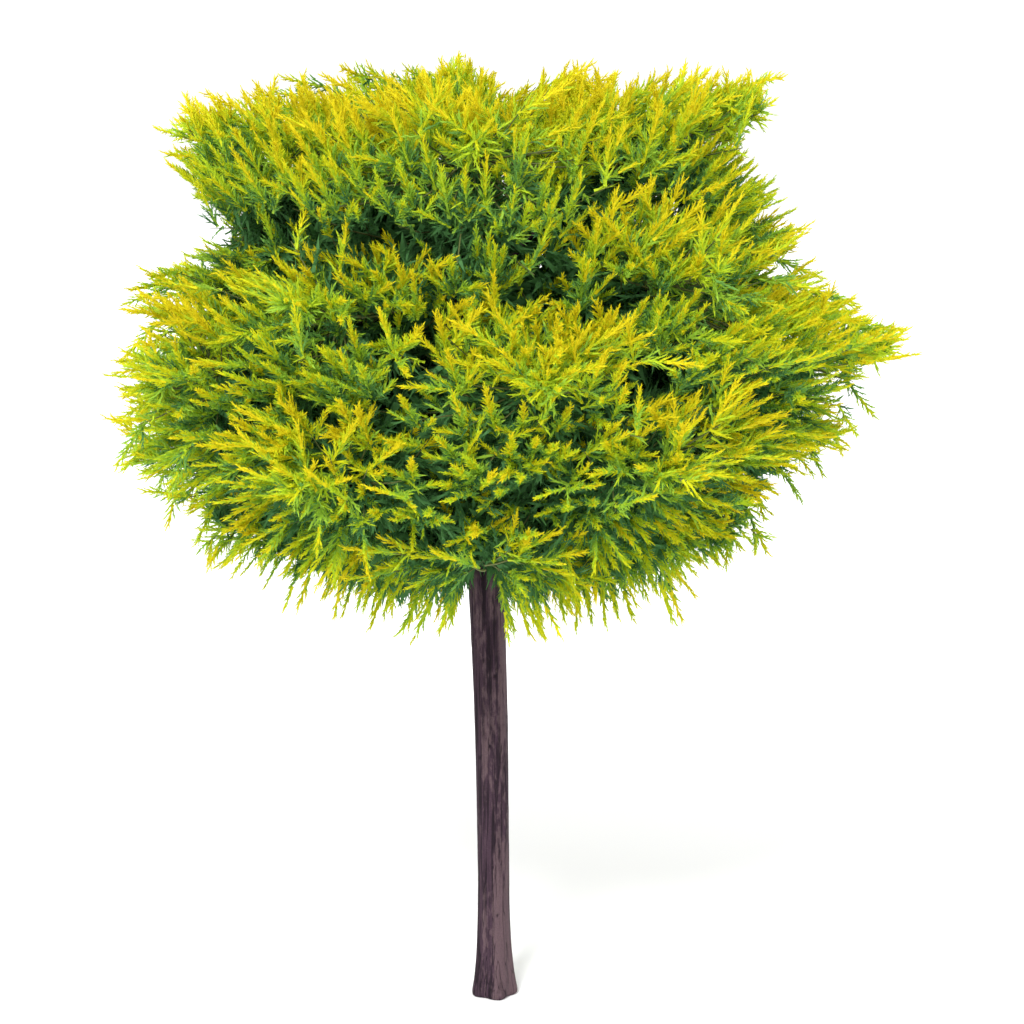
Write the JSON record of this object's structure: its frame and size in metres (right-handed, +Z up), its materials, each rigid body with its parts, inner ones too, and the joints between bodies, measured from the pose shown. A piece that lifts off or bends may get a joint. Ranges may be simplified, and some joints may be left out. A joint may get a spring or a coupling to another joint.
{
  "type": "golden chinese juniper grown as a half standard",
  "caption": "Young conifer with a clear straight trunk and a spreading crown of arching boughs, each ending in a plume of golden-tipped sprays of needles.",
  "frame": {"origin": "middle of the flat cut under the trunk, at ground level", "axes": "+Z up the trunk; the picture is taken from -Y, with +X on its right"},
  "size_m": [1.3701, 1.2425, 1.6233],
  "materials": {
    "bark": "rough purple-brown bark with long flutes, dark streaks and paler worn patches",
    "foliage": "matt needles, yellow at the tips of the sprays, lime to deep blue-green further in"
  },
  "bodies": {
    "root": {"bough_lower_1": "bark", "bough_lower_2": "bark", "bough_lower_3": "bark", "bough_lower_4": "bark", "bough_lower_5": "bark", "bough_lower_6": "bark", "bough_middle_1": "bark", "bough_middle_2": "bark", "bough_middle_3": "bark", "bough_middle_4": "bark", "bough_middle_5": "bark", "bough_skirt_1": "bark", "bough_skirt_2": "bark", "bough_skirt_3": "bark", "bough_skirt_4": "bark", "bough_skirt_5": "bark", "bough_top_1": "bark", "bough_top_2": "bark", "bough_top_3": "bark", "bough_top_4": "bark", "bough_top_5": "bark", "bough_upper_1": "bark", "bough_upper_2": "bark", "bough_upper_3": "bark", "bough_upper_4": "bark", "bough_upper_5": "bark", "foliage_dome": "foliage", "foliage_lower_1": "foliage", "foliage_lower_2": "foliage", "foliage_lower_3": "foliage", "foliage_lower_4": "foliage", "foliage_lower_5": "foliage", "foliage_lower_6": "foliage", "foliage_middle_1": "foliage", "foliage_middle_2": "foliage", "foliage_middle_3": "foliage", "foliage_middle_4": "foliage", "foliage_middle_5": "foliage", "foliage_skirt_1": "foliage", "foliage_skirt_2": "foliage", "foliage_skirt_3": "foliage", "foliage_skirt_4": "foliage", "foliage_skirt_5": "foliage", "foliage_top_1": "foliage", "foliage_top_2": "foliage", "foliage_top_3": "foliage", "foliage_top_4": "foliage", "foliage_top_5": "foliage", "foliage_upper_1": "foliage", "foliage_upper_2": "foliage", "foliage_upper_3": "foliage", "foliage_upper_4": "foliage", "foliage_upper_5": "foliage", "trunk": "bark"}
  },
  "joints": []
}
